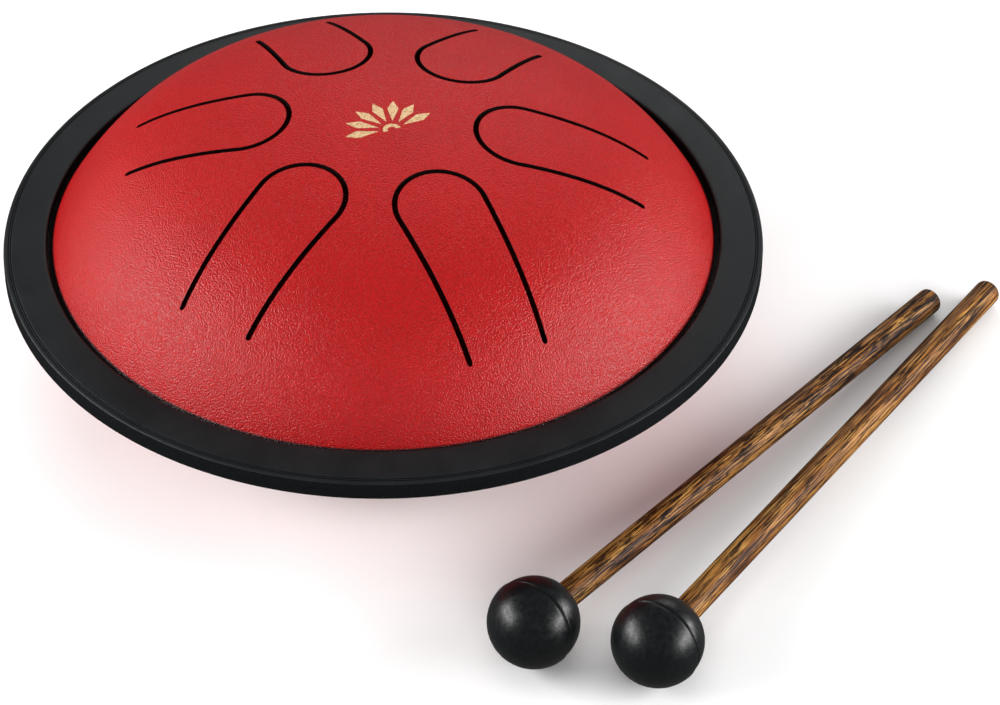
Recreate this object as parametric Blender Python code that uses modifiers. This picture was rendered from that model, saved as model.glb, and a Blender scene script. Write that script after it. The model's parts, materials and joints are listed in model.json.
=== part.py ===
"""Compact steel tongue drum with its pair of mallets, in metres, +Z up, standing on its three feet.

The front (-Y) is the side the longest tongue points to. The world origin is the middle of the whole
set's footprint, on the surface it stands on.
"""

import math

import bmesh
import bpy

MM = 0.001
GAP = 0.3 * MM
SET_NAME = "tongue_drum_set"

# Rim
RIM_RADIUS = 89.0 * MM
RIM_LIP_RADIUS = 78.9 * MM
RIM_BOTTOM = 34.9 * MM
RIM_EDGE_HEIGHT = 4.6 * MM
RIM_LIP_RISE = 0.9 * MM
RIM_EDGE_ROUND = 0.8 * MM
RIM_WALL = 2.2 * MM

# Shells
SHEET = 1.0 * MM
SHELL_RADIUS = 77.25 * MM
FLANGE_RADIUS = 86.5 * MM
UNDERSIDE_HEIGHT = 6.0 * MM
CROWN_RISE = 33.4 * MM
CROWN_EDGE_SHARE = 0.437
CROWN_EDGE_POWER = 6.6
CROWN_FILLET = 2.6 * MM
BOWL_FILLET = 1.4 * MM
SOUND_HOLE_RADIUS = 15.5 * MM
BOWL_WALL_ANGLE = math.radians(45.0)
BOWL_FOOT_RADIUS = 20.0 * MM
BOWL_SHOULDER_RADIUS = 12.0 * MM

# Tongues: number one points to the front, then they alternate left and right towards the back
TONGUE_ANGLES = tuple(math.radians(angle) for angle in (-90, -150, -30, 150, 30, 90))
TONGUE_ROOTS = tuple(reach * MM for reach in (66.4, 64.0, 60.6, 58.2, 51.2, 52.1))
TONGUE_TIP = 21.6 * MM
TIP_HALF_WIDTH = 10.5 * MM
ROOT_HALF_WIDTH = 9.2 * MM
SLOT_WIDTH = 1.3 * MM

# Feet and their fasteners
FOOT_ANGLES = tuple(math.radians(angle) for angle in (90, -30, -150))
FOOT_CIRCLE = 36.0 * MM
FOOT_RADIUS = 7.5 * MM
FOOT_TOP_RADIUS = 6.6 * MM
FOOT_RECESS_RADIUS = 3.8 * MM
FOOT_RECESS_DEPTH = 3.2 * MM
SCREW_RADIUS = 1.5 * MM
SCREW_HEAD_RADIUS = 2.8 * MM
SCREW_HEAD_HEIGHT = 2.0 * MM
NUT_ACROSS_FLATS = 5.5 * MM
NUT_HEIGHT = 2.4 * MM
SCREW_PAST_NUT = 1.0 * MM

# Mallets, each lying on its head and the end of its stick
HEAD_RADIUS = 10.5 * MM
STICK_RADIUS = 3.15 * MM
STICK_REACH = 156.8 * MM
STICK_EDGE = 0.8 * MM
STICK_PAST_CENTRE = 4.0 * MM
MALLETS = (
    {"head": (-12.5 * MM, -106.7 * MM), "heading": math.radians(25.5)},
    {"head": (9.5 * MM, -123.6 * MM), "heading": math.radians(31.25)},
)
MALLET_PITCH = math.asin((HEAD_RADIUS - STICK_RADIUS) / (STICK_REACH - STICK_EDGE))

# Worked out from the sizes above
JOINT_HEIGHT = RIM_BOTTOM + RIM_EDGE_HEIGHT / 2
UPPER_FLANGE_TOP = JOINT_HEIGHT + GAP / 2 + SHEET
LOWER_FLANGE_BOTTOM = JOINT_HEIGHT - GAP / 2 - SHEET
CROWN_EDGE_SLOPE = (
    CROWN_RISE / SHELL_RADIUS * (2 * (1.0 - CROWN_EDGE_SHARE) + CROWN_EDGE_POWER * CROWN_EDGE_SHARE)
)
CROWN_EDGE_ANGLE = math.atan(CROWN_EDGE_SLOPE)
CROWN_BASE = UPPER_FLANGE_TOP + CROWN_FILLET * (1.0 - math.cos(CROWN_EDGE_ANGLE))
BOWL_TOP = LOWER_FLANGE_BOTTOM - BOWL_FILLET

ROUND_STEPS = 72
RIM_STEPS = 96
SMALL_STEPS = 24
CROWN_POINTS = 14
ARC_POINTS = 5


def clear_scene():
    for obj in list(bpy.data.objects):
        bpy.data.objects.remove(obj, do_unlink=True)


def make_collection(name, hidden=False):
    collection = bpy.data.collections.new(name)
    collection.hide_render = hidden
    bpy.context.scene.collection.children.link(collection)
    return collection


def make_material(name, colour, roughness, metallic=0.0):
    material = bpy.data.materials.new(name)
    material.use_nodes = True
    shader = material.node_tree.nodes["Principled BSDF"]
    shader.inputs["Base Color"].default_value = (*colour, 1.0)
    shader.inputs["Roughness"].default_value = roughness
    shader.inputs["Metallic"].default_value = metallic
    return material


def make_empty(name, parent, location, turn=0.0):
    empty = bpy.data.objects.new(name, None)
    empty.location = location
    empty.rotation_euler = (0.0, 0.0, turn)
    empty.parent = parent
    parts.objects.link(empty)
    return empty


def add_object(name, data, material, parent, location=(0.0, 0.0, 0.0)):
    obj = bpy.data.objects.new(name, data)
    obj.parent = parent
    obj.location = location
    if material:
        data.materials.append(material)
    parts.objects.link(obj)
    return obj


def make_cutter(obj):
    """Moves an object out of the set, so that it only cuts."""
    parts.objects.unlink(obj)
    cutters.objects.link(obj)
    obj.hide_render = True
    obj.display_type = "WIRE"


def cut(obj, cutter, operation="DIFFERENCE"):
    modifier = obj.modifiers.new(f"{operation.lower()}_{cutter.name}", "BOOLEAN")
    modifier.operation = operation
    modifier.solver = "EXACT"
    modifier.object = cutter


def smooth(obj, angle_deg=35.0):
    mesh = obj.data
    mesh.shade_smooth()
    mesh.set_sharp_from_angle(angle=math.radians(angle_deg))


def turned(name, profile, steps, material, parent, closed=True):
    """A solid of revolution about its own Z, from (radius, height) points."""
    mesh = bpy.data.meshes.new(name)
    count = len(profile)
    edges = [(i, i + 1) for i in range(count - 1)]
    if closed:
        edges.append((count - 1, 0))
    mesh.from_pydata([(r, 0.0, z) for r, z in profile], edges, [])
    obj = add_object(name, mesh, material, parent)
    screw = obj.modifiers.new("turn", "SCREW")
    screw.axis = "Z"
    screw.angle = math.tau
    screw.steps = steps
    screw.render_steps = steps
    screw.use_merge_vertices = True
    screw.merge_threshold = 0.00001
    screw.use_smooth_shade = True
    screw.use_normal_calculate = True
    return obj


def arc(centre, radius, start_deg, end_deg, points=ARC_POINTS):
    """Points on an arc in the (radius, height) plane, ends included."""
    angles = [math.radians(start_deg + (end_deg - start_deg) * k / (points - 1)) for k in range(points)]
    return [(centre[0] + radius * math.cos(a), centre[1] + radius * math.sin(a)) for a in angles]


def offset_line(points, distance):
    """The line moved sideways by a distance, to the right of its direction, with mitred corners."""
    moved = []
    for i, point in enumerate(points):
        before = points[max(i - 1, 0)]
        after = points[min(i + 1, len(points) - 1)]
        normals = []
        for a, b in ((before, point), (point, after)):
            length = math.dist(a, b)
            if length > 0.0:
                normals.append(((b[1] - a[1]) / length, -(b[0] - a[0]) / length))
        nx = sum(n[0] for n in normals) / len(normals)
        nz = sum(n[1] for n in normals) / len(normals)
        scale = distance / (nx * nx + nz * nz)
        moved.append((point[0] + nx * scale, point[1] + nz * scale))
    return moved


def crown_height(radius):
    """Height of the top shell's outer face above its feet plane, at a radius from the drum's axis."""
    share = min(radius / SHELL_RADIUS, 1.0)
    drop = (1.0 - CROWN_EDGE_SHARE) * share**2 + CROWN_EDGE_SHARE * share**CROWN_EDGE_POWER
    return CROWN_BASE + CROWN_RISE * (1.0 - drop)


def upper_profile():
    """Closed outline of the top shell's sheet: outer face from crown to flange, then back inside."""
    turns = [k / CROWN_POINTS * math.pi / 2 for k in range(CROWN_POINTS + 1)]
    radii = [SHELL_RADIUS * math.sin(turn) for turn in turns]
    outer = [(r, crown_height(r)) for r in radii]
    fillet_centre = (
        SHELL_RADIUS + CROWN_FILLET * math.sin(CROWN_EDGE_ANGLE),
        UPPER_FLANGE_TOP + CROWN_FILLET,
    )
    outer += arc(fillet_centre, CROWN_FILLET, 270.0 - math.degrees(CROWN_EDGE_ANGLE), 270.0)[1:]
    outer.append((FLANGE_RADIUS, UPPER_FLANGE_TOP))
    inner = offset_line(outer, SHEET)
    inner[0] = (0.0, outer[0][1] - SHEET)
    return outer + inner[::-1]


def bowl_outline():
    """Outer face of the bottom shell, from the sound hole's edge to the flange's edge."""
    angle = BOWL_WALL_ANGLE
    rise = BOWL_TOP - UNDERSIDE_HEIGHT
    foot_run = BOWL_FOOT_RADIUS * math.sin(angle)
    foot_rise = BOWL_FOOT_RADIUS * (1.0 - math.cos(angle))
    shoulder_run = BOWL_SHOULDER_RADIUS * (1.0 - math.sin(angle))
    shoulder_rise = BOWL_SHOULDER_RADIUS * math.cos(angle)
    wall_run = (rise - foot_rise - shoulder_rise) / math.tan(angle)
    flat_radius = SHELL_RADIUS - foot_run - wall_run - shoulder_run
    tilt = math.degrees(angle)
    points = [(SOUND_HOLE_RADIUS, UNDERSIDE_HEIGHT)]
    foot_centre = (flat_radius, UNDERSIDE_HEIGHT + BOWL_FOOT_RADIUS)
    points += arc(foot_centre, BOWL_FOOT_RADIUS, -90.0, tilt - 90.0)
    shoulder_centre = (SHELL_RADIUS - BOWL_SHOULDER_RADIUS, BOWL_TOP)
    points += arc(shoulder_centre, BOWL_SHOULDER_RADIUS, tilt - 90.0, 0.0)
    points += arc((SHELL_RADIUS + BOWL_FILLET, BOWL_TOP), BOWL_FILLET, 180.0, 90.0)[1:]
    points.append((FLANGE_RADIUS, LOWER_FLANGE_BOTTOM))
    return points


def lower_profile():
    """Closed outline of the bottom shell's sheet."""
    outer = bowl_outline()
    inner = offset_line(outer, -SHEET)
    return outer + inner[::-1]


def rim_profile():
    """Closed outline of the rubber ring: a C that opens inwards around both flanges."""
    edge_top = RIM_BOTTOM + RIM_EDGE_HEIGHT
    round_over = RIM_EDGE_ROUND
    round_radius = RIM_RADIUS - round_over
    groove_top = UPPER_FLANGE_TOP + GAP
    groove_bottom = LOWER_FLANGE_BOTTOM - GAP
    groove_radius = RIM_RADIUS - RIM_WALL
    points = [(RIM_LIP_RADIUS, edge_top + RIM_LIP_RISE)]
    points += arc((round_radius, edge_top - round_over), round_over, 84.0, 0.0)
    points += arc((round_radius, RIM_BOTTOM + round_over), round_over, 0.0, -84.0)
    points.append((RIM_LIP_RADIUS, RIM_BOTTOM - RIM_LIP_RISE))
    points.append((RIM_LIP_RADIUS, groove_bottom))
    points.append((groove_radius, groove_bottom))
    points.append((groove_radius, groove_top))
    points.append((RIM_LIP_RADIUS, groove_top))
    return points


def tongue_outline(root, margin, root_margin):
    """Plan of a tongue grown by a margin, pointing along -X from its root, as (x, y) points."""
    tip_radius = TIP_HALF_WIDTH + margin
    tip_centre = TONGUE_TIP + TIP_HALF_WIDTH
    root_x = root + root_margin
    points = [(root_x, -ROOT_HALF_WIDTH - margin)]
    steps = 16
    for k in range(steps + 1):
        angle = -math.pi / 2 - math.pi * k / steps
        points.append((tip_centre + tip_radius * math.cos(angle), tip_radius * math.sin(angle)))
    points.append((root_x, ROOT_HALF_WIDTH + margin))
    return points


def prism(name, outline, bottom, top, parent):
    """A closed upright block with a plan outline."""
    mesh = bpy.data.meshes.new(name)
    bm = bmesh.new()
    verts = [bm.verts.new((x, y, bottom)) for x, y in outline]
    face = bm.faces.new(verts)
    raised = bmesh.ops.extrude_face_region(bm, geom=[face])["geom"]
    raised_verts = [item for item in raised if isinstance(item, bmesh.types.BMVert)]
    bmesh.ops.translate(bm, vec=(0.0, 0.0, top - bottom), verts=raised_verts)
    bmesh.ops.recalc_face_normals(bm, faces=bm.faces)
    bm.to_mesh(mesh)
    bm.free()
    return add_object(name, mesh, None, parent)


def cylinder_cutter(name, radius, bottom, top, parent, location):
    mesh = bpy.data.meshes.new(name)
    bm = bmesh.new()
    bmesh.ops.create_cone(
        bm, cap_ends=True, segments=SMALL_STEPS, radius1=radius, radius2=radius, depth=top - bottom
    )
    bmesh.ops.translate(bm, vec=(0.0, 0.0, (top + bottom) / 2), verts=bm.verts)
    bm.to_mesh(mesh)
    bm.free()
    cutter = add_object(name, mesh, None, parent, location)
    make_cutter(cutter)
    return cutter


def fixed_mesh(obj):
    """Replaces an object's modifiers by the mesh they make, with every face turned outwards."""
    bpy.context.view_layer.update()
    depsgraph = bpy.context.evaluated_depsgraph_get()
    mesh = bpy.data.meshes.new_from_object(obj.evaluated_get(depsgraph), depsgraph=depsgraph)
    mesh.name = obj.name
    bm = bmesh.new()
    bm.from_mesh(mesh)
    bmesh.ops.recalc_face_normals(bm, faces=bm.faces)
    bm.to_mesh(mesh)
    bm.free()
    obj.modifiers.clear()
    obj.data = mesh


def build_upper_shell(centre, paint):
    """The top shell, with a window for each tongue."""
    shell = turned("upper_shell", upper_profile(), ROUND_STEPS, paint, centre)
    top = CROWN_BASE + CROWN_RISE + SHEET
    for index, (angle, root) in enumerate(zip(TONGUE_ANGLES, TONGUE_ROOTS), 1):
        outline = tongue_outline(root, SLOT_WIDTH / 2, SLOT_WIDTH / 2)
        window = prism(f"window_{index}", outline, RIM_BOTTOM, top, centre)
        window.rotation_euler = (0.0, 0.0, angle)
        make_cutter(window)
        cut(shell, window)
    fixed_mesh(shell)
    smooth(shell)


def build_tongue(index, angle, root, centre, paint):
    """A tongue cut from the same sheet, with its origin on the line it bends about."""
    top = CROWN_BASE + CROWN_RISE + SHEET
    blade = turned(f"tongue_{index}", upper_profile(), ROUND_STEPS, paint, centre)
    keep_outline = tongue_outline(root, -SLOT_WIDTH / 2, SLOT_WIDTH / 2 - GAP - 0.05 * MM)
    keeper = prism(f"blank_{index}", keep_outline, RIM_BOTTOM + RIM_EDGE_HEIGHT, top, centre)
    keeper.rotation_euler = (0.0, 0.0, angle)
    make_cutter(keeper)
    cut(blade, keeper, "INTERSECT")
    fixed_mesh(blade)
    smooth(blade)
    hinge = (root * math.cos(angle), root * math.sin(angle), crown_height(root) - SHEET / 2)
    for vertex in blade.data.vertices:
        vertex.co.x -= hinge[0]
        vertex.co.y -= hinge[1]
        vertex.co.z -= hinge[2]
    blade.location = hinge


def foot_place(angle):
    return (FOOT_CIRCLE * math.cos(angle), FOOT_CIRCLE * math.sin(angle), 0.0)


def build_lower_shell(centre, paint):
    """The bottom shell, with its sound hole and the three screw holes."""
    shell = turned("lower_shell", lower_profile(), ROUND_STEPS, paint, centre)
    for index, angle in enumerate(FOOT_ANGLES, 1):
        name = f"screw_hole_{index}"
        top = UNDERSIDE_HEIGHT + 3 * SHEET
        hole = cylinder_cutter(name, SCREW_RADIUS + GAP, 0.0, top, centre, foot_place(angle))
        cut(shell, hole)
    fixed_mesh(shell)
    smooth(shell)


def build_rim(centre, rubber):
    rim = turned("rim_ring", rim_profile(), RIM_STEPS, rubber, centre)
    fixed_mesh(rim)
    smooth(rim)


def build_foot(index, angle, centre, rubber, steel):
    """One foot, the screw that holds it and the nut inside the shell."""
    place = foot_place(angle)
    foot_top = UNDERSIDE_HEIGHT - GAP
    hole_radius = SCREW_RADIUS + GAP
    edge = 0.8 * MM
    foot_outline = [
        (hole_radius, foot_top),
        (FOOT_TOP_RADIUS, foot_top),
        (FOOT_RADIUS, edge),
        (FOOT_RADIUS - edge, 0.0),
        (FOOT_RECESS_RADIUS, 0.0),
        (FOOT_RECESS_RADIUS, FOOT_RECESS_DEPTH),
        (hole_radius, FOOT_RECESS_DEPTH),
    ]
    foot = turned(f"foot_{index}", foot_outline, SMALL_STEPS, rubber, centre)
    foot.location = place
    seat = FOOT_RECESS_DEPTH - GAP
    nut_bottom = UNDERSIDE_HEIGHT + SHEET + GAP
    screw_outline = [
        (0.0, nut_bottom + NUT_HEIGHT + SCREW_PAST_NUT),
        (SCREW_RADIUS, nut_bottom + NUT_HEIGHT + SCREW_PAST_NUT),
        (SCREW_RADIUS, seat),
        (SCREW_HEAD_RADIUS, seat),
        (SCREW_HEAD_RADIUS, seat - SCREW_HEAD_HEIGHT / 2),
        (SCREW_HEAD_RADIUS * 0.7, seat - SCREW_HEAD_HEIGHT),
        (0.0, seat - SCREW_HEAD_HEIGHT),
    ]
    screw = turned(f"foot_screw_{index}", screw_outline, SMALL_STEPS, steel, centre, closed=False)
    screw.location = place
    nut_radius = NUT_ACROSS_FLATS / math.sqrt(3.0)
    build_nut(index, nut_radius, hole_radius, (place[0], place[1], nut_bottom), centre, steel)
    for obj in (foot, screw):
        fixed_mesh(obj)
        smooth(obj)


def build_nut(index, corner_radius, hole_radius, place, centre, steel):
    """A hexagon nut: a flat outline with a round hole, thickened."""
    curve = bpy.data.curves.new(f"nut_outline_{index}", "CURVE")
    curve.dimensions = "2D"
    curve.fill_mode = "BOTH"
    curve.extrude = NUT_HEIGHT / 2
    for radius, corners in ((corner_radius, 6), (hole_radius, SMALL_STEPS)):
        spline = curve.splines.new("POLY")
        spline.points.add(corners - 1)
        for k in range(corners):
            turn = math.tau * k / corners
            spline.points[k].co = (radius * math.cos(turn), radius * math.sin(turn), 0.0, 1.0)
        spline.use_cyclic_u = True
    outline = bpy.data.objects.new("nut_outline", curve)
    parts.objects.link(outline)
    bpy.context.view_layer.update()
    mesh = bpy.data.meshes.new_from_object(outline.evaluated_get(bpy.context.evaluated_depsgraph_get()))
    bpy.data.objects.remove(outline, do_unlink=True)
    bm = bmesh.new()
    bm.from_mesh(mesh)
    bmesh.ops.remove_doubles(bm, verts=bm.verts, dist=0.000001)
    bmesh.ops.translate(bm, vec=(0.0, 0.0, NUT_HEIGHT / 2), verts=bm.verts)
    bm.to_mesh(mesh)
    bm.free()
    mesh.name = f"foot_nut_{index}"
    mesh.materials.clear()
    add_object(f"foot_nut_{index}", mesh, steel, centre, place)


def build_mallet(index, layout, centre, wood, rubber):
    """A mallet: its own frame has the head at the origin and the stick along +Z."""
    head_x, head_y = layout["head"]
    frame = make_empty(f"mallet_{index}_frame", centre, (head_x, head_y, HEAD_RADIUS))
    frame.rotation_mode = "XYZ"
    frame.rotation_euler = (0.0, math.pi / 2 + MALLET_PITCH, layout["heading"])
    bore_radius = STICK_RADIUS + GAP
    mouth = math.sqrt(HEAD_RADIUS**2 - bore_radius**2)
    mouth_deg = math.degrees(math.atan2(mouth, bore_radius))
    head_outline = arc((0.0, 0.0), HEAD_RADIUS, mouth_deg, -90.0, 19)
    head_outline[-1] = (0.0, -HEAD_RADIUS)
    head_outline.append((0.0, -STICK_PAST_CENTRE - GAP))
    head_outline.append((bore_radius, -STICK_PAST_CENTRE - GAP))
    head = turned(f"mallet_{index}_head", head_outline, 32, rubber, frame)
    stick_outline = [(0.0, STICK_REACH), (STICK_RADIUS - STICK_EDGE, STICK_REACH)]
    edge_centre = (STICK_RADIUS - STICK_EDGE, STICK_REACH - STICK_EDGE)
    stick_outline += arc(edge_centre, STICK_EDGE, 90.0, 0.0, 4)[1:]
    stick_outline.append((STICK_RADIUS, -STICK_PAST_CENTRE))
    stick_outline.append((0.0, -STICK_PAST_CENTRE))
    stick = turned(f"mallet_{index}_stick", stick_outline, SMALL_STEPS, wood, frame, closed=False)
    for obj in (head, stick):
        fixed_mesh(obj)
        smooth(obj)


def stick_end_extent(layout):
    """How far the end of a stick reaches along +X from the drum's axis."""
    along_x = math.cos(MALLET_PITCH) * math.cos(layout["heading"])
    return layout["head"][0] + STICK_REACH * along_x + STICK_RADIUS * math.sqrt(1.0 - along_x**2)


def drum_centre_in_set():
    """Where the drum's axis stands, so that the origin is the middle of the set's footprint."""
    right = max(stick_end_extent(layout) for layout in MALLETS)
    front = min(layout["head"][1] for layout in MALLETS) - HEAD_RADIUS
    return ((RIM_RADIUS - right) / 2, -(RIM_RADIUS + front) / 2, 0.0)


clear_scene()
parts = make_collection(SET_NAME)
cutters = make_collection("cutters", hidden=True)

red_paint = make_material("red_paint", (0.45, 0.012, 0.016), 0.45)
black_rubber = make_material("black_rubber", (0.03, 0.031, 0.033), 0.7)
head_rubber = make_material("head_rubber", (0.014, 0.014, 0.015), 0.5)
plain_steel = make_material("plain_steel", (0.55, 0.55, 0.56), 0.35, 1.0)
stick_wood = make_material("stick_wood", (0.12, 0.05, 0.02), 0.5)

drum = make_empty("drum_centre", None, drum_centre_in_set())
build_upper_shell(drum, red_paint)
for number, (tongue_angle, tongue_root) in enumerate(zip(TONGUE_ANGLES, TONGUE_ROOTS), 1):
    build_tongue(number, tongue_angle, tongue_root, drum, red_paint)
build_lower_shell(drum, red_paint)
build_rim(drum, black_rubber)
for number, foot_angle in enumerate(FOOT_ANGLES, 1):
    build_foot(number, foot_angle, drum, black_rubber, plain_steel)
for number, mallet in enumerate(MALLETS, 1):
    build_mallet(number, mallet, drum, stick_wood, head_rubber)
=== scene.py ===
"""Looks for a compact steel tongue drum and its two mallets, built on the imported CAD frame.

Sizes and places come from the frame's boxes and joints, and from the named values below, in metres.
"""

import json
import math

import bmesh
import bpy
from mathutils import Matrix, Vector


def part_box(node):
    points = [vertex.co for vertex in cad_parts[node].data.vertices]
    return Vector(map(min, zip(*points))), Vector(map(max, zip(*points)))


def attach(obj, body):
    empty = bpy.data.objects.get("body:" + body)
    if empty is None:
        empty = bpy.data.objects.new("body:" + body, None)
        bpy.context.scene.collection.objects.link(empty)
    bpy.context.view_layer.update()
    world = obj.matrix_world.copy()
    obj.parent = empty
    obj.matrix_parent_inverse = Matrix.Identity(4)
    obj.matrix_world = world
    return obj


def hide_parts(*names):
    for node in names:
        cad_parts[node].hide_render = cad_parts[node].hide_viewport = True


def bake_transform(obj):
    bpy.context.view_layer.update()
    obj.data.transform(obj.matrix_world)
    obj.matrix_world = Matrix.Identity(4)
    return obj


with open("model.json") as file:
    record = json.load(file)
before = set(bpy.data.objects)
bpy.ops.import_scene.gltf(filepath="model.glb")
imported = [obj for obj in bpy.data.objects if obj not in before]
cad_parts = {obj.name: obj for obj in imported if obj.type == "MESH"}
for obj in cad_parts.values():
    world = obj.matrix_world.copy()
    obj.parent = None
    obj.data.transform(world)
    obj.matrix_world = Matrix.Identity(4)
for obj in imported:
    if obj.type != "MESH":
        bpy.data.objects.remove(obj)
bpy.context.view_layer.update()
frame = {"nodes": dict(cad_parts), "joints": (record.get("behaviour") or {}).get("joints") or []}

MM = 0.001

# The sheet steel shells
SHEET = 1.0 * MM
FLANGE_WIDTH = 9.25 * MM
CROWN_EDGE_SHARE = 0.437
CROWN_EDGE_POWER = 6.6
CROWN_EDGE_ANGLE = math.radians(60.0)
CROWN_FILLET = 2.6 * MM
BOWL_FILLET = 1.4 * MM
SOUND_HOLE_RADIUS = 15.5 * MM
BOWL_WALL_ANGLE = math.radians(45.0)
BOWL_FOOT_RADIUS = 20.0 * MM
BOWL_SHOULDER_RADIUS = 12.0 * MM

# The powder coat: its grain, with a painted highlight on each pebble and painted shade between them, and the
# painted shade that makes it black in the crease at the rim
POWDER_GRAIN = 0.38 * MM
POWDER_RELIEF = 0.14 * MM
PEBBLE_WOBBLE = 0.4
# Painted shade in the crease at the rim: the height over which it fades out, and its near-black colour
CREASE_PAINTED_SHADE_FADE = 0.4 * MM
CREASE_PAINTED_SHADE_COLOUR = (0.004, 0.002, 0.002)

# The slots around each tongue
SLOT_WIDTH = 1.3 * MM
TONGUE_TIP = 21.6 * MM
TIP_HALF_WIDTH = 10.5 * MM
ROOT_HALF_WIDTH = 9.2 * MM
# Upright faces up to this tilt, inside the dome, get the slot walls' painted shade
SLOT_WALL_TILT = 0.3

# The rubber rim
RIM_LIP_GAP = 1.65 * MM
RIM_LIP_RISE = 0.9 * MM
RIM_EDGE_ROUND = 0.8 * MM
RIM_LIP_ROUND = 0.5 * MM
RIM_WALL = 2.2 * MM
RIM_TOP_SAG = 0.12 * MM
RIM_LINE_DEPTH = 0.18 * MM
RIM_LINE_SHARES = (0.90, 0.955)
RIM_LINE_WIDTH = 0.016
RIM_FACE_SPANS = 12
# Faces whose normals point up less than this get the rim's painted shade
RIM_FACE_UP = 0.6

# Feet and their screws
FOOT_EDGE = 0.7 * MM
FOOT_TAPER = 0.9 * MM
RECESS_RADIUS = 3.8 * MM
RECESS_DEPTH = 3.2 * MM
SCREW_HOLE_RADIUS = 1.8 * MM

# Mallets
STICK_RADIUS = 3.15 * MM
STICK_PAST_CENTRE = 4.0 * MM
STICK_EDGE = 1.0 * MM
BORE_GAP = 0.3 * MM
PARTING_WIDTH = 0.60 * MM
PARTING_DEPTH = 0.40 * MM
PARTING_STEP = 0.22 * MM

# How far a skin stays inside the part it covers
SKIN_INSET = 0.02 * MM

# The crown's ornament, a fan of petals over a half ring
MOTIF_FILM = 0.02 * MM
PETAL_COUNT = 7
PETAL_RING = 1.6 * MM
PETAL_RING_WIDTH = 1.1 * MM
PETAL_HEEL = 3.2 * MM
PETAL_TIP = 11.0 * MM
PETAL_SHOULDER = 0.62
PETAL_HALF_WIDTH = 1.3 * MM

# The camera, aimed at a point on the floor beside the drum
LENS_MM = 144.0
SENSOR_MM = 36.0
CAMERA_AZIMUTH = math.radians(-26.03)
CAMERA_ELEVATION = math.radians(40.17)
CAMERA_ROLL = math.radians(0.54)
CAMERA_DISTANCE = 0.967
CAMERA_AIM_FROM_DRUM = (26.0 * MM, -9.5 * MM)

# The studio
FLOOR_HALF_SIZE = 4.0
FLOOR_DROP = 0.2 * MM
WORLD_STRENGTH = 0.12

# Fineness: sides around a lathed piece, and points along an outline
SKIN_STEPS = 240
RIM_STEPS = 256
HEAD_SIDES = 128
SMALL_STEPS = 64
STICK_SIDES = 48
HEAD_STEPS = 120
CROWN_STEPS = 44
SLOT_TIP_POINTS = 41
SCREW_HOLE_POINTS = 33
PETAL_RING_POINTS = 25
PETAL_STEPS = 8
SMOOTH_ANGLE = 38.0
SMOOTH_ANGLE_SOFT = 50.0


# --- Sizes read from the frame ---------------------------------------------------------------

rim_low, rim_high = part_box("rim_ring")
shell_low, shell_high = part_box("upper_shell")
bowl_low, bowl_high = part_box("lower_shell")
drum_axis = Vector(((rim_low.x + rim_high.x) / 2, (rim_low.y + rim_high.y) / 2, 0.0))
rim_radius = (rim_high.x - rim_low.x) / 2 - SKIN_INSET
flange_radius = (shell_high.x - shell_low.x) / 2
shell_radius = flange_radius - FLANGE_WIDTH
upper_flange_top = shell_low.z + SHEET
crown_base = upper_flange_top + CROWN_FILLET * (1.0 - math.cos(CROWN_EDGE_ANGLE))
crown_rise = shell_high.z - MOTIF_FILM - crown_base
lower_flange_bottom = bowl_high.z - SHEET
bowl_top = lower_flange_bottom - BOWL_FILLET
underside = bowl_low.z


def tongue_places():
    """For each tongue body, the direction it runs out in from the drum's axis and its root's distance."""
    places = {}
    for joint in frame["joints"]:
        if joint["type"] != "hinge":
            continue
        out = Vector(joint["pos_m"]) - drum_axis
        places[joint["child"]] = (math.atan2(out.y, out.x), math.hypot(out.x, out.y))
    return places


# --- Outlines ---------------------------------------------------------------------------------


def arc(centre, radius, start_deg, end_deg, points):
    """Points on an arc, ends included."""
    angles = [math.radians(start_deg + (end_deg - start_deg) * k / (points - 1)) for k in range(points)]
    return [(centre[0] + radius * math.cos(a), centre[1] + radius * math.sin(a)) for a in angles]


def offset_line(points, distance):
    """The line moved sideways by a distance, to the right of its direction, with mitred corners."""
    moved = []
    for i, point in enumerate(points):
        normals = []
        for a, b in ((points[max(i - 1, 0)], point), (point, points[min(i + 1, len(points) - 1)])):
            length = math.dist(a, b)
            if length > 0.0:
                normals.append(((b[1] - a[1]) / length, -(b[0] - a[0]) / length))
        nx = sum(n[0] for n in normals) / len(normals)
        ny = sum(n[1] for n in normals) / len(normals)
        scale = distance / (nx * nx + ny * ny)
        moved.append((point[0] + nx * scale, point[1] + ny * scale))
    return moved


def crown_height(radius):
    """Height of the top shell's outer face at a radius from the drum's axis."""
    share = min(radius / shell_radius, 1.0)
    drop = (1.0 - CROWN_EDGE_SHARE) * share**2 + CROWN_EDGE_SHARE * share**CROWN_EDGE_POWER
    return crown_base + crown_rise * (1.0 - drop)


def upper_outline():
    """Closed outline of the top shell's sheet: outer face from crown to flange, then back inside."""
    radii = [shell_radius * math.sin(k / CROWN_STEPS * math.pi / 2) for k in range(CROWN_STEPS + 1)]
    outer = [(r, crown_height(r)) for r in radii]
    fillet_centre = (
        shell_radius + CROWN_FILLET * math.sin(CROWN_EDGE_ANGLE),
        upper_flange_top + CROWN_FILLET,
    )
    outer += arc(fillet_centre, CROWN_FILLET, 270.0 - math.degrees(CROWN_EDGE_ANGLE), 270.0, 8)[1:]
    outer.append((flange_radius, upper_flange_top))
    inner = offset_line(outer, SHEET)
    inner[0] = (0.0, outer[0][1] - SHEET)
    return outer + inner[::-1]


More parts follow.
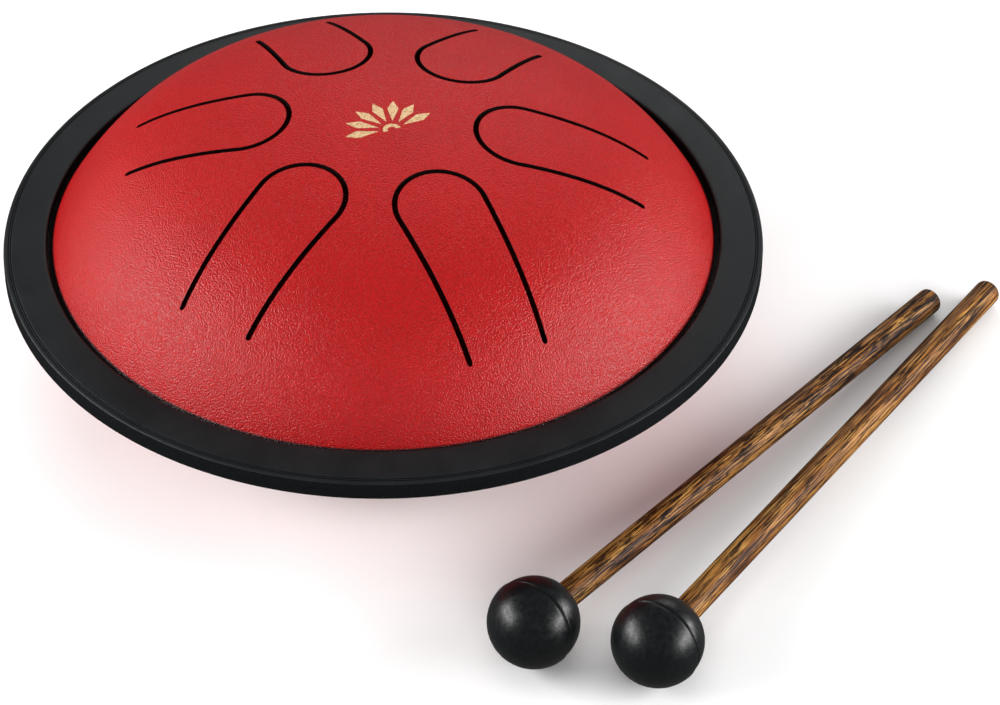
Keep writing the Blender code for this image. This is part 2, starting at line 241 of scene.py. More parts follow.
def lower_outline():
    """Closed outline of the bottom shell's sheet, from the sound hole to the flange and back."""
    angle = BOWL_WALL_ANGLE
    tilt = math.degrees(angle)
    foot_rise = BOWL_FOOT_RADIUS * (1.0 - math.cos(angle))
    shoulder_rise = BOWL_SHOULDER_RADIUS * math.cos(angle)
    wall_run = (bowl_top - underside - foot_rise - shoulder_rise) / math.tan(angle)
    flat_radius = (
        shell_radius
        - BOWL_FOOT_RADIUS * math.sin(angle)
        - wall_run
        - BOWL_SHOULDER_RADIUS * (1.0 - math.sin(angle))
    )
    outer = [(SOUND_HOLE_RADIUS, underside)]
    outer += arc((flat_radius, underside + BOWL_FOOT_RADIUS), BOWL_FOOT_RADIUS, -90.0, tilt - 90.0, 16)
    outer += arc((shell_radius - BOWL_SHOULDER_RADIUS, bowl_top), BOWL_SHOULDER_RADIUS, tilt - 90.0, 0.0, 12)
    outer += arc((shell_radius + BOWL_FILLET, bowl_top), BOWL_FILLET, 180.0, 90.0, 7)[1:]
    outer.append((flange_radius, lower_flange_bottom))
    inner = offset_line(outer, -SHEET)
    return outer + inner[::-1]


def rim_outline():
    """Closed outline of the rubber ring: a C around both flanges, with two fine lines near its edge."""
    lip_radius = shell_radius + RIM_LIP_GAP
    edge_top = rim_high.z - RIM_LIP_RISE
    edge_bottom = rim_low.z + RIM_LIP_RISE
    edge_radius = rim_radius - RIM_EDGE_ROUND
    groove_top = upper_flange_top + BORE_GAP
    groove_bottom = lower_flange_bottom - BORE_GAP
    groove_radius = rim_radius - RIM_WALL
    face_start = (lip_radius + RIM_LIP_ROUND, rim_high.z)
    face_end = (edge_radius, edge_top)
    points = [(lip_radius, groove_top)]
    points += arc((lip_radius + RIM_LIP_ROUND, rim_high.z - RIM_LIP_ROUND), RIM_LIP_ROUND, 180.0, 95.0, 6)
    shares = [k / RIM_FACE_SPANS for k in range(1, RIM_FACE_SPANS)]
    for line in RIM_LINE_SHARES:
        shares += [line + RIM_LINE_WIDTH * step for step in (-1.0, -0.5, 0.0, 0.5, 1.0)]
    for share in sorted(shares):
        rise = RIM_TOP_SAG * math.sin(math.pi * share)
        for line in RIM_LINE_SHARES:
            rise -= RIM_LINE_DEPTH * max(0.0, 1.0 - abs(share - line) / RIM_LINE_WIDTH)
        points.append(
            (
                face_start[0] + (face_end[0] - face_start[0]) * share,
                face_start[1] + (face_end[1] - face_start[1]) * share + rise,
            )
        )
    points += arc((edge_radius, edge_top - RIM_EDGE_ROUND), RIM_EDGE_ROUND, 80.0, 0.0, 9)
    points += arc((edge_radius, edge_bottom + RIM_EDGE_ROUND), RIM_EDGE_ROUND, 0.0, -84.0, 9)
    points += arc((lip_radius + RIM_LIP_ROUND, rim_low.z + RIM_LIP_ROUND), RIM_LIP_ROUND, -95.0, -180.0, 6)
    points.append((lip_radius, groove_bottom))
    points.append((groove_radius, groove_bottom))
    points.append((groove_radius, groove_top))
    return points


def tongue_line(root):
    """Middle of a tongue's U-shaped slot in plan, for a tongue lying along +X, from root to root."""
    tip_centre = TONGUE_TIP + TIP_HALF_WIDTH
    points = [(root, -ROOT_HALF_WIDTH)]
    points += arc((tip_centre, 0.0), TIP_HALF_WIDTH, -90.0, -270.0, SLOT_TIP_POINTS)
    points.append((root, ROOT_HALF_WIDTH))
    return points


def slot_outline(root):
    """Closed plan outline of a slot: its middle line widened, with round ends."""
    middle = tongue_line(root)
    half = SLOT_WIDTH / 2
    right = offset_line(middle, half)
    left = offset_line(middle, -half)
    lean = math.degrees(math.atan2(TIP_HALF_WIDTH - ROOT_HALF_WIDTH, root - middle[1][0]))
    last_cap = arc(middle[-1], half, 90.0 - lean, -90.0 - lean, 9)[1:-1]
    first_cap = arc(middle[0], half, 90.0 + lean, -90.0 + lean, 9)[1:-1]
    return left + last_cap + right[::-1] + first_cap


# --- Mesh work --------------------------------------------------------------------------------


def add_piece(name, mesh, material):
    obj = bpy.data.objects.new(name, mesh)
    bpy.context.scene.collection.objects.link(obj)
    if material:
        mesh.materials.append(material)
    return obj


def face_outwards(mesh):
    bm = bmesh.new()
    bm.from_mesh(mesh)
    bmesh.ops.recalc_face_normals(bm, faces=bm.faces)
    bm.to_mesh(mesh)
    bm.free()


def smooth(mesh, angle_deg=SMOOTH_ANGLE):
    mesh.shade_smooth()
    mesh.set_sharp_from_angle(angle=math.radians(angle_deg))


def dress_faces(mesh, material, chosen):
    """Gives a second material to the faces that a test of normal and centre picks out."""
    mesh.materials.append(material)
    last = len(mesh.materials) - 1
    for polygon in mesh.polygons:
        if chosen(polygon.normal, polygon.center):
            polygon.material_index = last


def lathe(name, outline, steps, closed=True):
    """A mesh turned about +Z from (radius, height) points. Points on the axis become poles."""
    verts = []
    rings = []
    for radius, height in outline:
        count = 1 if radius < 1e-7 else steps
        rings.append(list(range(len(verts), len(verts) + count)))
        for k in range(count):
            turn = math.tau * k / steps
            verts.append((radius * math.cos(turn), radius * math.sin(turn), height))
    faces = []
    pairs = list(zip(rings, rings[1:]))
    if closed:
        pairs.append((rings[-1], rings[0]))
    for first, second in pairs:
        if len(first) == 1 and len(second) == 1:
            continue
        for k in range(steps):
            j = (k + 1) % steps
            corners = [first[k % len(first)], first[j % len(first)]]
            corners += [second[j % len(second)], second[k % len(second)]]
            faces.append(list(dict.fromkeys(corners)))
    mesh = bpy.data.meshes.new(name)
    mesh.from_pydata(verts, [], faces)
    face_outwards(mesh)
    return mesh


def prism(name, outline, bottom, top, turn):
    """An upright block with a plan outline, turned about the drum's axis."""
    bm = bmesh.new()
    face = bm.faces.new([bm.verts.new((x, y, bottom)) for x, y in outline])
    raised = bmesh.ops.extrude_face_region(bm, geom=[face])["geom"]
    raised_verts = [item for item in raised if isinstance(item, bmesh.types.BMVert)]
    bmesh.ops.translate(bm, vec=(0.0, 0.0, top - bottom), verts=raised_verts)
    bmesh.ops.recalc_face_normals(bm, faces=bm.faces)
    mesh = bpy.data.meshes.new(name)
    bm.to_mesh(mesh)
    bm.free()
    mesh.transform(Matrix.Translation(drum_axis) @ Matrix.Rotation(turn, 4, "Z"))
    return add_piece(name, mesh, None)


def boolean(mesh, name, cutters, operation):
    """A new mesh: the given one cut by, or kept inside, each cutter object."""
    obj = add_piece(name, mesh, None)
    for cutter in cutters:
        modifier = obj.modifiers.new("cut", "BOOLEAN")
        modifier.operation = operation
        modifier.solver = "EXACT"
        modifier.object = cutter
    bpy.context.view_layer.update()
    depsgraph = bpy.context.evaluated_depsgraph_get()
    made = bpy.data.meshes.new_from_object(obj.evaluated_get(depsgraph), depsgraph=depsgraph)
    bpy.data.objects.remove(obj, do_unlink=True)
    made.name = name
    return made


def remove(objects):
    for obj in objects:
        bpy.data.objects.remove(obj, do_unlink=True)


# --- Materials --------------------------------------------------------------------------------


def new_material(name, roughness, metallic=0.0, specular=0.5):
    material = bpy.data.materials.new(name)
    material.use_nodes = True
    tree = material.node_tree
    shader = tree.nodes["Principled BSDF"]
    shader.inputs["Roughness"].default_value = roughness
    shader.inputs["Metallic"].default_value = metallic
    shader.inputs["Specular IOR Level"].default_value = specular
    return material, tree, shader


def object_coordinates(tree, stretch=(1.0, 1.0, 1.0)):
    """Coordinates on the object, in metres, multiplied along each axis."""
    coordinates = tree.nodes.new("ShaderNodeTexCoord")
    mapping = tree.nodes.new("ShaderNodeMapping")
    mapping.inputs["Scale"].default_value = stretch
    tree.links.new(coordinates.outputs["Object"], mapping.inputs["Vector"])
    return mapping.outputs["Vector"]


def noise(tree, vector, feature_size, detail=2.0, roughness=0.5, distortion=0.0):
    """Noise with blobs about as wide as feature_size, in metres."""
    texture = tree.nodes.new("ShaderNodeTexNoise")
    texture.inputs["Scale"].default_value = 1.0 / feature_size
    texture.inputs["Detail"].default_value = detail
    texture.inputs["Roughness"].default_value = roughness
    texture.inputs["Distortion"].default_value = distortion
    tree.links.new(vector, texture.inputs["Vector"])
    return texture.outputs["Fac"]


def pebbles(tree, vector, spacing):
    """Distance from the nearest of many scattered points: 0 on a pebble's top, largest between pebbles."""
    wobble = tree.nodes.new("ShaderNodeTexNoise")
    wobble.inputs["Scale"].default_value = 1.0 / spacing
    wobble.inputs["Detail"].default_value = 1.0
    tree.links.new(vector, wobble.inputs["Vector"])
    shifted = tree.nodes.new("ShaderNodeVectorMath")
    shifted.operation = "MULTIPLY_ADD"
    shifted.inputs[1].default_value = [PEBBLE_WOBBLE * spacing] * 3
    tree.links.new(wobble.outputs["Color"], shifted.inputs[0])
    tree.links.new(vector, shifted.inputs[2])
    cells = tree.nodes.new("ShaderNodeTexVoronoi")
    cells.feature = "SMOOTH_F1"
    cells.inputs["Scale"].default_value = 1.0 / spacing
    cells.inputs["Smoothness"].default_value = 0.6
    tree.links.new(shifted.outputs["Vector"], cells.inputs["Vector"])
    return cells.outputs["Distance"]


def colour_ramp(tree, factor, stops):
    ramp = tree.nodes.new("ShaderNodeValToRGB")
    elements = ramp.color_ramp.elements
    while len(elements) < len(stops):
        elements.new(1.0)
    for element, (position, colour) in zip(elements, stops):
        element.position = position
        element.color = (*colour, 1.0)
    tree.links.new(factor, ramp.inputs["Fac"])
    return ramp.outputs["Color"]


def remap(tree, value, low, high, to_low, to_high):
    node = tree.nodes.new("ShaderNodeMapRange")
    node.inputs["From Min"].default_value = low
    node.inputs["From Max"].default_value = high
    node.inputs["To Min"].default_value = to_low
    node.inputs["To Max"].default_value = to_high
    tree.links.new(value, node.inputs["Value"])
    return node.outputs["Result"]


def blend_colour(tree, factor, first, second, mode="MIX"):
    """Mixes two colours, each an output socket or a plain colour."""
    node = tree.nodes.new("ShaderNodeMix")
    node.data_type = "RGBA"
    node.blend_type = mode
    for source, socket in ((factor, node.inputs[0]), (first, node.inputs[6]), (second, node.inputs[7])):
        if isinstance(source, bpy.types.NodeSocket):
            tree.links.new(source, socket)
        elif isinstance(source, tuple):
            socket.default_value = (*source, 1.0)
        else:
            socket.default_value = source
    return node.outputs[2]


def bump(tree, height, depth, below=None):
    """A bump as deep as depth, in metres, on top of an earlier one."""
    node = tree.nodes.new("ShaderNodeBump")
    node.inputs["Strength"].default_value = 1.0
    node.inputs["Distance"].default_value = depth
    tree.links.new(height, node.inputs["Height"])
    if below:
        tree.links.new(below, node.inputs["Normal"])
    return node.outputs["Normal"]


def powder_coat(name, paint_crease_shade=False):
    """Satin red powder coat with a fine pebbled grain, painted highlight on the pebble tops and painted
    shade between them. The top shell's also has painted shade, black in the crease at the rim.
    """
    material, tree, shader = new_material(name, 0.34, specular=0.46)
    where = object_coordinates(tree)
    grain = pebbles(tree, where, POWDER_GRAIN)
    patches = noise(tree, where, 16.0 * MM, detail=3.0)
    base = colour_ramp(tree, patches, ((0.3, (0.365, 0.0012, 0.0018)), (0.7, (0.395, 0.0018, 0.0026))))
    # Painted highlight and painted shade: the colour is lighter and whiter on each pebble's top and darker
    # between the pebbles
    pebble_highlight_and_shade = colour_ramp(tree, grain, ((0.15, (1.20, 1.30, 1.30)), (0.60, (0.76, 0.66, 0.66))))
    colour = blend_colour(tree, 1.0, base, pebble_highlight_and_shade, "MULTIPLY")
    # Painted shade: below the crown's foot the colour turns near black, as the crease under the rim's lip
    # lies in shade
    if paint_crease_shade:
        height = tree.nodes.new("ShaderNodeSeparateXYZ")
        tree.links.new(where, height.inputs["Vector"])
        above = remap(tree, height.outputs["Z"], crown_base - CREASE_PAINTED_SHADE_FADE, crown_base, 0.0, 1.0)
        colour = blend_colour(tree, above, CREASE_PAINTED_SHADE_COLOUR, colour)
    tree.links.new(colour, shader.inputs["Base Color"])
    tree.links.new(remap(tree, grain, 0.15, 0.6, 0.26, 0.42), shader.inputs["Roughness"])
    domed = remap(tree, grain, 0.0, 0.8, 1.0, 0.0)
    tree.links.new(bump(tree, domed, POWDER_RELIEF), shader.inputs["Normal"])
    return material


def slot_wall_shade():
    """The upright faces of the slots: painted shade, near black with faint blotches, as the slots lie in
    shade.
    """
    material, tree, shader = new_material("slot_wall_painted_shade", 0.8, specular=0.1)
    where = object_coordinates(tree)
    shade_blotches = noise(tree, where, 0.4 * MM, detail=3.0)
    colour = colour_ramp(tree, shade_blotches, ((0.3, (0.0015, 0.0008, 0.0008)), (0.7, (0.0060, 0.0030, 0.0030))))
    tree.links.new(colour, shader.inputs["Base Color"])
    return material


def rim_rubber():
    """Charcoal moulded rubber with a satin skin, slightly dusty and finely textured."""
    material, tree, shader = new_material("rim_rubber", 0.5, specular=0.36)
    where = object_coordinates(tree)
    grain = noise(tree, where, 0.35 * MM, detail=3.0, roughness=0.6)
    bloom = noise(tree, where, 9.0 * MM, detail=4.0, roughness=0.6)
    colour = colour_ramp(tree, bloom, ((0.3, (0.0045, 0.0058, 0.0066)), (0.75, (0.0085, 0.0100, 0.0110))))
    tree.links.new(colour, shader.inputs["Base Color"])
    tree.links.new(remap(tree, bloom, 0.3, 0.7, 0.42, 0.56), shader.inputs["Roughness"])
    tree.links.new(bump(tree, grain, 0.06 * MM), shader.inputs["Normal"])
    return material


def rim_rubber_painted_shade():
    """The rim's side, underside and inner lip: the same rubber, matte, and darker in colour as painted
    shade.
    """
    material, tree, shader = new_material("rim_rubber_painted_shade", 0.8, specular=0.08)
    where = object_coordinates(tree)
    grain = noise(tree, where, 0.5 * MM, detail=3.0, roughness=0.6)
    colour = colour_ramp(tree, grain, ((0.3, (0.0022, 0.0028, 0.0032)), (0.75, (0.0060, 0.0070, 0.0078))))
    tree.links.new(colour, shader.inputs["Base Color"])
    tree.links.new(bump(tree, grain, 0.02 * MM), shader.inputs["Normal"])
    return material


def head_rubber():
    """Black rubber of the mallet heads, polished in patches."""
    material, tree, shader = new_material("head_rubber", 0.36, specular=0.55)
    where = object_coordinates(tree)
    mottle = noise(tree, where, 1.1 * MM, detail=4.0, roughness=0.6)
    grain = noise(tree, where, 0.4 * MM, detail=2.0)
    colour = colour_ramp(tree, mottle, ((0.3, (0.0015, 0.0020, 0.0024)), (0.75, (0.0040, 0.0048, 0.0055))))
    tree.links.new(colour, shader.inputs["Base Color"])
    tree.links.new(remap(tree, mottle, 0.35, 0.65, 0.28, 0.42), shader.inputs["Roughness"])
    waves = bump(tree, mottle, 0.03 * MM)
    tree.links.new(bump(tree, grain, 0.02 * MM, waves), shader.inputs["Normal"])
    return material


def along_stick(tree, place, stretch):
    """Coordinates measured from a mallet's head along its stick, squeezed along the grain."""
    coordinates = tree.nodes.new("ShaderNodeTexCoord")
    stand_up = tree.nodes.new("ShaderNodeMapping")
    stand_up.vector_type = "TEXTURE"
    stand_up.inputs["Location"].default_value = place.to_translation()
    stand_up.inputs["Rotation"].default_value = place.to_euler()
    tree.links.new(coordinates.outputs["Object"], stand_up.inputs["Vector"])
    squeeze = tree.nodes.new("ShaderNodeMapping")
    squeeze.inputs["Scale"].default_value = (1.0, 1.0, stretch)
    tree.links.new(stand_up.outputs["Vector"], squeeze.inputs["Vector"])
    return squeeze.outputs["Vector"]


def streaked_wood(name, place, fleck_stretch, dark_share):
    """Dark tropical wood: tan and red-brown figure under fine black-brown pores that run along the stick."""
    material, tree, shader = new_material(name, 0.5, specular=0.25)
    broad = along_stick(tree, place, 0.06)
    figure = noise(tree, broad, 2.8 * MM, detail=3.0, roughness=0.55, distortion=1.2)
    threads = noise(tree, along_stick(tree, place, 0.025), 0.34 * MM, detail=3.0, roughness=0.65)
    flecks = noise(tree, along_stick(tree, place, fleck_stretch), 0.42 * MM, detail=3.0, roughness=0.7)
    base = colour_ramp(
        tree,
        figure,
        (
            (0.30, (0.040, 0.013, 0.004)),
            (0.44, (0.130, 0.047, 0.010)),
            (0.56, (0.250, 0.110, 0.025)),
            (0.70, (0.440, 0.245, 0.070)),
        ),
    )
    light = colour_ramp(tree, threads, ((0.42, (0.18, 0.13, 0.10)), (0.58, (1.50, 1.50, 1.40))))
    pores = ((dark_share, (0.05, 0.035, 0.03)), (dark_share + 0.07, (1.0, 1.0, 1.0)))
    dark = colour_ramp(tree, flecks, pores)
    threaded = blend_colour(tree, 1.0, base, light, "MULTIPLY")
    tree.links.new(blend_colour(tree, 1.0, threaded, dark, "MULTIPLY"), shader.inputs["Base Color"])
    tree.links.new(remap(tree, flecks, 0.4, 0.6, 0.65, 0.42), shader.inputs["Roughness"])
    tree.links.new(bump(tree, flecks, 0.06 * MM), shader.inputs["Normal"])
    return material


def foot_rubber():
    """Matte black rubber of the feet."""
    material, tree, shader = new_material("foot_rubber", 0.75, specular=0.35)
    where = object_coordinates(tree)
    grain = noise(tree, where, 0.5 * MM, detail=3.0)
    colour = colour_ramp(tree, grain, ((0.3, (0.010, 0.010, 0.011)), (0.7, (0.020, 0.020, 0.021))))
    tree.links.new(colour, shader.inputs["Base Color"])
    tree.links.new(bump(tree, grain, 0.02 * MM), shader.inputs["Normal"])
    return material


def black_zinc():
    """Black zinc-plated steel of the screws and nuts."""
    material, tree, shader = new_material("black_zinc_steel", 0.42, metallic=0.8)
    where = object_coordinates(tree)
    spangle = noise(tree, where, 0.8 * MM, detail=2.0)
    colour = colour_ramp(tree, spangle, ((0.3, (0.030, 0.030, 0.033)), (0.7, (0.060, 0.060, 0.064))))
    tree.links.new(colour, shader.inputs["Base Color"])
    tree.links.new(remap(tree, spangle, 0.3, 0.7, 0.36, 0.52), shader.inputs["Roughness"])
    return material


def gold_ink():
    """Pale gold printed ink, a little worn over the grain of the paint."""
    material, tree, shader = new_material("gold_ink", 0.45, metallic=0.35)
    where = object_coordinates(tree)
    grain = noise(tree, where, 0.42 * MM, detail=2.0, roughness=0.6)
    colour = colour_ramp(
        tree,
        grain,
        ((0.34, (0.42, 0.17, 0.08)), (0.46, (0.66, 0.44, 0.22)), (0.7, (0.80, 0.58, 0.34))),
    )
    tree.links.new(colour, shader.inputs["Base Color"])
    tree.links.new(bump(tree, grain, 0.035 * MM), shader.inputs["Normal"])
    return material


def floor_paper():
    """Plain white studio paper."""
    material, tree, shader = new_material("floor_paper", 0.8, specular=0.2)
    where = object_coordinates(tree)
    tone = noise(tree, where, 40.0 * MM, detail=2.0)
    colour = colour_ramp(tree, tone, ((0.3, (0.90, 0.90, 0.90)), (0.7, (0.92, 0.92, 0.92))))
    tree.links.new(colour, shader.inputs["Base Color"])
    return material


# --- The drum ---------------------------------------------------------------------------------


def on_slot_wall(normal, centre):
    """True for the upright faces of the slots, which lie well inside the dome's foot."""
    from_axis = math.hypot(centre.x - drum_axis.x, centre.y - drum_axis.y)
    return abs(normal.z) < SLOT_WALL_TILT and from_axis < shell_radius - 5 * SHEET


def build_top(paint, slot_shade):
    """The top shell with its slots, and each tongue cut out at its root as a piece of its own."""
    below = upper_flange_top + 2 * SHEET
    above = shell_high.z + 5 * SHEET
    places = tongue_places()
    slots = [prism("slot", slot_outline(root), below, above, turn) for turn, root in places.values()]
    blanks = {
        body: prism("blank", tongue_line(root), below, above, turn)
        for body, (turn, root) in places.items()
    }
    sheet = lathe("sheet", upper_outline(), SKIN_STEPS)
    sheet.transform(Matrix.Translation(drum_axis))
    slotted = boolean(sheet, "slotted", slots, "DIFFERENCE")
    shell_mesh = boolean(slotted, "upper_shell_skin", list(blanks.values()), "DIFFERENCE")
    smooth(shell_mesh)
    shell = add_piece("upper_shell_skin", shell_mesh, paint)
    # The slot walls get the near-black painted shade
    dress_faces(shell_mesh, slot_shade, on_slot_wall)
    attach(shell, "drum")
    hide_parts("upper_shell")
    for body, (turn, root) in places.items():
        mesh = boolean(slotted, f"{body}_skin", [blanks[body]], "INTERSECT")
        smooth(mesh)
        tongue = add_piece(f"{body}_skin", mesh, paint)
        # The slot walls get the near-black painted shade
        dress_faces(mesh, slot_shade, on_slot_wall)
        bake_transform(tongue)
        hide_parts(body)
    remove(slots + list(blanks.values()))


def build_bottom(paint):
    """The bottom shell, with holes for the three foot screws."""
    mesh = lathe("sheet", lower_outline(), SKIN_STEPS)
    mesh.transform(Matrix.Translation(drum_axis))
    holes = []
    for node in sorted(name for name in frame["nodes"] if name.startswith("foot_screw_")):
        low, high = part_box(node)
        outline = arc((0.0, 0.0), SCREW_HOLE_RADIUS, 0.0, 360.0, SCREW_HOLE_POINTS)[:-1]
        hole = prism("hole", outline, low.z, high.z, 0.0)
        hole.location = ((low.x + high.x) / 2 - drum_axis.x, (low.y + high.y) / 2 - drum_axis.y, 0.0)
        holes.append(hole)
    mesh = boolean(mesh, "lower_shell_skin", holes, "DIFFERENCE")
    smooth(mesh)
    shell = add_piece("lower_shell_skin", mesh, paint)
    remove(holes)
    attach(shell, "drum")
    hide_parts("lower_shell")


def build_rim(rubber, shaded_rim_rubber):
    """The rubber ring: satin on its top face, matte everywhere else and darker there as painted shade."""
    mesh = lathe("rim_ring_skin", rim_outline(), RIM_STEPS)
    mesh.transform(Matrix.Translation(drum_axis))
    smooth(mesh, SMOOTH_ANGLE_SOFT)
    rim = add_piece("rim_ring_skin", mesh, rubber)
    # Every face but the top face gets the darker copy of the rubber, painted shade
    dress_faces(mesh, shaded_rim_rubber, lambda normal, centre: normal.z < RIM_FACE_UP)
    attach(rim, "drum")
    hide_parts("rim_ring")


def build_feet(rubber):
    """The three turned rubber feet, each with a recess for its screw's head."""
    for node in ("foot_1", "foot_2", "foot_3"):
        low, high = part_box(node)
        radius = (high.x - low.x) / 2
        top_centre = (radius - FOOT_TAPER - FOOT_EDGE, high.z - FOOT_EDGE)
        outline = [(SCREW_HOLE_RADIUS, high.z)]
        outline += arc(top_centre, FOOT_EDGE, 90.0, 10.0, 6)
        outline += arc((radius - FOOT_EDGE, FOOT_EDGE), FOOT_EDGE, 0.0, -90.0, 6)
        outline += arc((RECESS_RADIUS + FOOT_EDGE / 2, FOOT_EDGE / 2), FOOT_EDGE / 2, -90.0, -180.0, 4)
        outline += [(RECESS_RADIUS, RECESS_DEPTH), (SCREW_HOLE_RADIUS, RECESS_DEPTH)]
        mesh = lathe(f"{node}_skin", outline, SMALL_STEPS)
        mesh.transform(Matrix.Translation(((low.x + high.x) / 2, (low.y + high.y) / 2, 0.0)))
        smooth(mesh)
        foot = add_piece(f"{node}_skin", mesh, rubber)
        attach(foot, "drum")
        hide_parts(node)


def dress_fasteners(steel):
    """The screws and nuts keep the CAD's own shapes and only get their steel."""
    for name, node in frame["nodes"].items():
        if name.startswith(("foot_screw_", "foot_nut_")):
            node.data.materials.clear()
            node.data.materials.append(steel)


def strip(outer, inner):
    """Faces between two lines of plan points."""
    count = len(outer)
    faces = [(k, k + 1, count + k + 1, count + k) for k in range(count - 1)]
    return outer + inner, faces


def petal(angle, base):
    """One lozenge petal that points out from the fan's foot, as the two long sides of a strip."""
    sides = ([], [])
    for k in range(PETAL_STEPS + 1):
        share = k / PETAL_STEPS
        along = PETAL_HEEL + (PETAL_TIP - PETAL_HEEL) * share
        width = PETAL_HALF_WIDTH * min(share / PETAL_SHOULDER, (1.0 - share) / (1.0 - PETAL_SHOULDER))
        for side, across in zip(sides, (-width, width)):
            x = along * math.cos(angle) - across * math.sin(angle)
            y = along * math.sin(angle) + across * math.cos(angle)
            side.append((x, base + y))
    return sides


def motif_shapes():
    """A plain ornament for the crown, as plan points and faces: a fan of petals over a half ring."""
    base = -PETAL_TIP / 2
    outer = arc((0.0, base), PETAL_RING + PETAL_RING_WIDTH / 2, 0.0, 180.0, PETAL_RING_POINTS)
    inner = arc((0.0, base), PETAL_RING - PETAL_RING_WIDTH / 2, 0.0, 180.0, PETAL_RING_POINTS)
    shapes = [strip(outer, inner)]
    for k in range(PETAL_COUNT):
        shapes.append(strip(*petal(math.pi * (k + 0.5) / PETAL_COUNT, base)))
    return shapes


def build_motif(ink):
    """The printed ornament, as a film laid on the crown."""
    bm = bmesh.new()
    for points, faces in motif_shapes():
        verts = []
        for x, y in points:
            height = crown_height(math.hypot(x, y)) + MOTIF_FILM / 2
            verts.append(bm.verts.new((drum_axis.x + x, drum_axis.y + y, height)))
        for face in faces:
            bm.faces.new([verts[i] for i in face])
    bmesh.ops.recalc_face_normals(bm, faces=bm.faces)
    mesh = bpy.data.meshes.new("crown_motif")
    bm.to_mesh(mesh)
    bm.free()
    motif = add_piece("crown_motif", mesh, ink)
    thickness = motif.modifiers.new("film", "SOLIDIFY")
    thickness.thickness = MOTIF_FILM
    thickness.offset = 0.0
    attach(motif, "drum")


# --- The mallets ------------------------------------------------------------------------------


def mallet_layout(index):
    """A mallet's sizes and place: a frame with its head's centre at the origin and its stick along +Z."""
    head_low, head_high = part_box(f"mallet_{index}_head")
    stick_low, stick_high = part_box(f"mallet_{index}_stick")
    head_radius = (head_high.z - head_low.z) / 2 - SKIN_INSET
    head_centre = (head_low + head_high) / 2
    to_stick_middle = (stick_low + stick_high) / 2 - head_centre
    reach = 2 * to_stick_middle.length + STICK_PAST_CENTRE
    turn = to_stick_middle.to_track_quat("Z", "Y").to_matrix().to_4x4()
    return head_radius, reach, Matrix.Translation(head_centre) @ turn


def head_outline(radius):
    """Closed outline of a moulded ball: bore mouth, face with its parting groove, far pole, bore end."""
    bore_radius = STICK_RADIUS + BORE_GAP
    bore_end = -STICK_PAST_CENTRE - BORE_GAP
    mouth = math.acos(bore_radius / radius)
    points = [(bore_radius, bore_end)]
    for k in range(HEAD_STEPS + 1):
        angle = mouth - (mouth + math.pi / 2) * k / HEAD_STEPS
        height = radius * math.sin(angle)
        groove = PARTING_DEPTH * math.exp(-((height / (PARTING_WIDTH / 2)) ** 2))
        at = radius - groove - (PARTING_STEP if height > 0.0 else 0.0)
        points.append((at * math.cos(angle), at * math.sin(angle)))
    points[-1] = (0.0, -radius)
    points.append((0.0, bore_end))
    return points


def stick_outline(reach):
    """Open outline of a turned stick with an eased tail edge."""
    edge_centre = (STICK_RADIUS - STICK_EDGE, reach - STICK_EDGE)
    points = [(0.0, reach)]
    points += arc(edge_centre, STICK_EDGE, 90.0, 0.0, 8)
    points += [(STICK_RADIUS, reach * share) for share in (0.75, 0.5, 0.25)]
    points += [(STICK_RADIUS, -STICK_PAST_CENTRE), (0.0, -STICK_PAST_CENTRE)]
    return points


def build_mallet(index, rubber, fleck_stretch, dark_share):
    """A ball and its stick, laid where the frame has them."""
    head_radius, reach, place = mallet_layout(index)
    wood = streaked_wood(f"streaked_wood_{index}", place, fleck_stretch, dark_share)
    body = f"mallet_{index}"
    head = lathe(f"{body}_head_skin", head_outline(head_radius), HEAD_SIDES)
    stick = lathe(f"{body}_stick_skin", stick_outline(reach), STICK_SIDES, closed=False)
    pieces = (
        ("head", head, rubber, "head_rubber"),
        ("stick", stick, wood, "stick_wood"),
    )
    for part, mesh, material, slot in pieces:
        smooth(mesh, SMOOTH_ANGLE_SOFT)
        mesh.transform(place)
        piece = add_piece(f"{body}_{part}_skin", mesh, material)
        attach(piece, body)
        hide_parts(f"{body}_{part}")


# --- Studio -----------------------------------------------------------------------------------


def build_floor(paper):
    """A plain sheet that leaves no reflection in the gloss, like the lights that only fill."""
    bm = bmesh.new()
    bmesh.ops.create_grid(bm, x_segments=1, y_segments=1, size=FLOOR_HALF_SIZE)
    mesh = bpy.data.meshes.new("studio_floor")
    bm.to_mesh(mesh)
    bm.free()
    floor = add_piece("studio_floor", mesh, paper)
    floor.location.z = -FLOOR_DROP
    floor.visible_glossy = False


def add_softbox(name, azimuth, elevation, distance, width, height, power, glossy=True):
    """A rectangular light that faces the drum from a direction in degrees. A fill leaves no reflection."""
    data = bpy.data.lights.new(name, "AREA")
    data.shape = "RECTANGLE"
    data.size = width
    data.size_y = height
    data.energy = power
    light = bpy.data.objects.new(name, data)
    light.visible_glossy = glossy
    turn = math.radians(azimuth)
    lift = math.radians(elevation)
    towards = Vector((math.cos(turn) * math.cos(lift), math.sin(turn) * math.cos(lift), math.sin(lift)))
    light.location = drum_axis + Vector((0.0, 0.0, rim_low.z)) + towards * distance
    light.rotation_euler = towards.to_track_quat("Z", "Y").to_euler()
    bpy.context.scene.collection.objects.link(light)


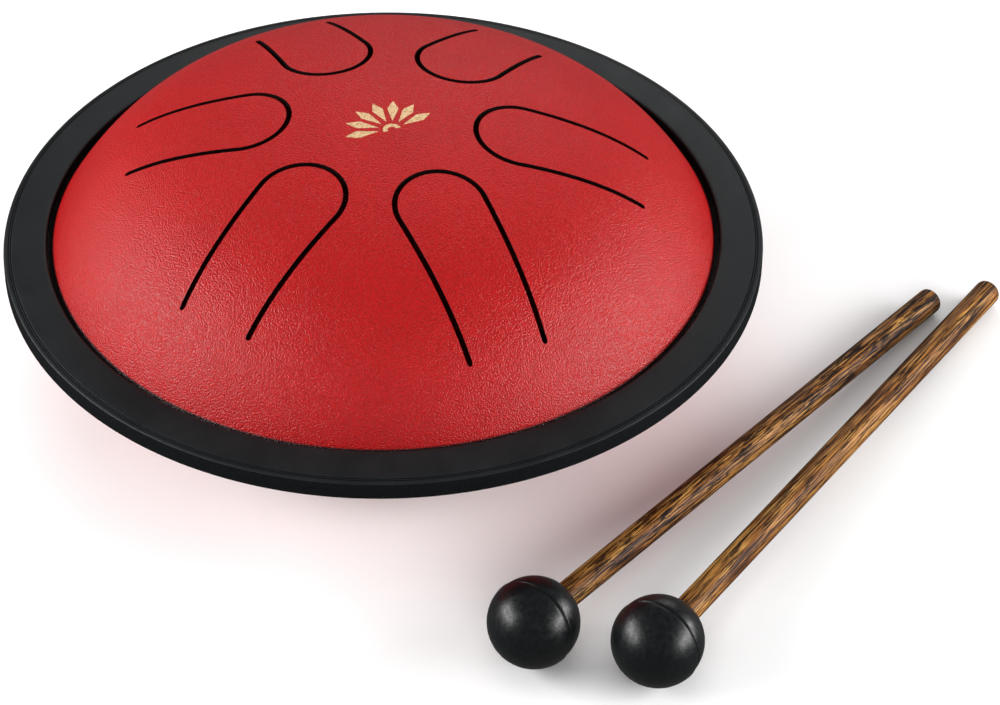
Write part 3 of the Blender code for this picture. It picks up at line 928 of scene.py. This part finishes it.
def light_studio():
    """Wide softboxes left, right and behind that show in the gloss, and broad fills that don't."""
    world = bpy.data.worlds.new("studio")
    world.use_nodes = True
    background = world.node_tree.nodes["Background"]
    background.inputs["Color"].default_value = (1.0, 1.0, 1.0, 1.0)
    background.inputs["Strength"].default_value = WORLD_STRENGTH
    bpy.context.scene.world = world
    add_softbox("left_softbox", 158.0, 24.0, 1.1, 1.1, 0.32, 11.0)
    add_softbox("right_softbox", -33.0, 15.0, 1.1, 1.3, 0.32, 12.0)
    add_softbox("back_softbox", 55.0, 26.0, 1.2, 0.9, 0.3, 1.6)
    add_softbox("left_fill", 150.0, 20.0, 1.1, 0.6, 0.6, 7.5, glossy=False)
    add_softbox("right_fill", -28.0, 15.0, 1.1, 0.6, 0.6, 6.5, glossy=False)
    add_softbox("back_fill", 65.0, 30.0, 1.2, 0.9, 0.7, 5.5, glossy=False)
    add_softbox("front_fill", -115.0, 30.0, 1.2, 0.8, 0.8, 6.0, glossy=False)
    add_softbox("overhead_fill", -90.0, 88.0, 1.4, 1.2, 1.2, 4.0, glossy=False)


def add_camera():
    data = bpy.data.cameras.new("camera")
    data.lens = LENS_MM
    data.sensor_width = SENSOR_MM
    data.clip_start = 0.01
    data.clip_end = 20.0
    camera = bpy.data.objects.new("camera", data)
    flat = math.cos(CAMERA_ELEVATION)
    back = Vector(
        (
            math.sin(CAMERA_AZIMUTH) * flat,
            -math.cos(CAMERA_AZIMUTH) * flat,
            math.sin(CAMERA_ELEVATION),
        )
    )
    aim = drum_axis + Vector((*CAMERA_AIM_FROM_DRUM, 0.0))
    turn = back.to_track_quat("Z", "Y").to_matrix().to_4x4()
    camera.matrix_world = (
        Matrix.Translation(aim + back * CAMERA_DISTANCE) @ turn @ Matrix.Rotation(CAMERA_ROLL, 4, "Z")
    )
    bpy.context.scene.collection.objects.link(camera)
    bpy.context.scene.camera = camera


build_top(powder_coat("red_powder_coat_top", paint_crease_shade=True), slot_wall_shade())
build_bottom(powder_coat("red_powder_coat"))
build_rim(rim_rubber(), rim_rubber_painted_shade())
build_feet(foot_rubber())
build_motif(gold_ink())
ball_rubber = head_rubber()
build_mallet(1, ball_rubber, fleck_stretch=0.07, dark_share=0.45)
build_mallet(2, ball_rubber, fleck_stretch=0.05, dark_share=0.41)
dress_fasteners(black_zinc())
build_floor(floor_paper())
light_studio()
add_camera()
bpy.context.scene.view_settings.view_transform = "Standard"
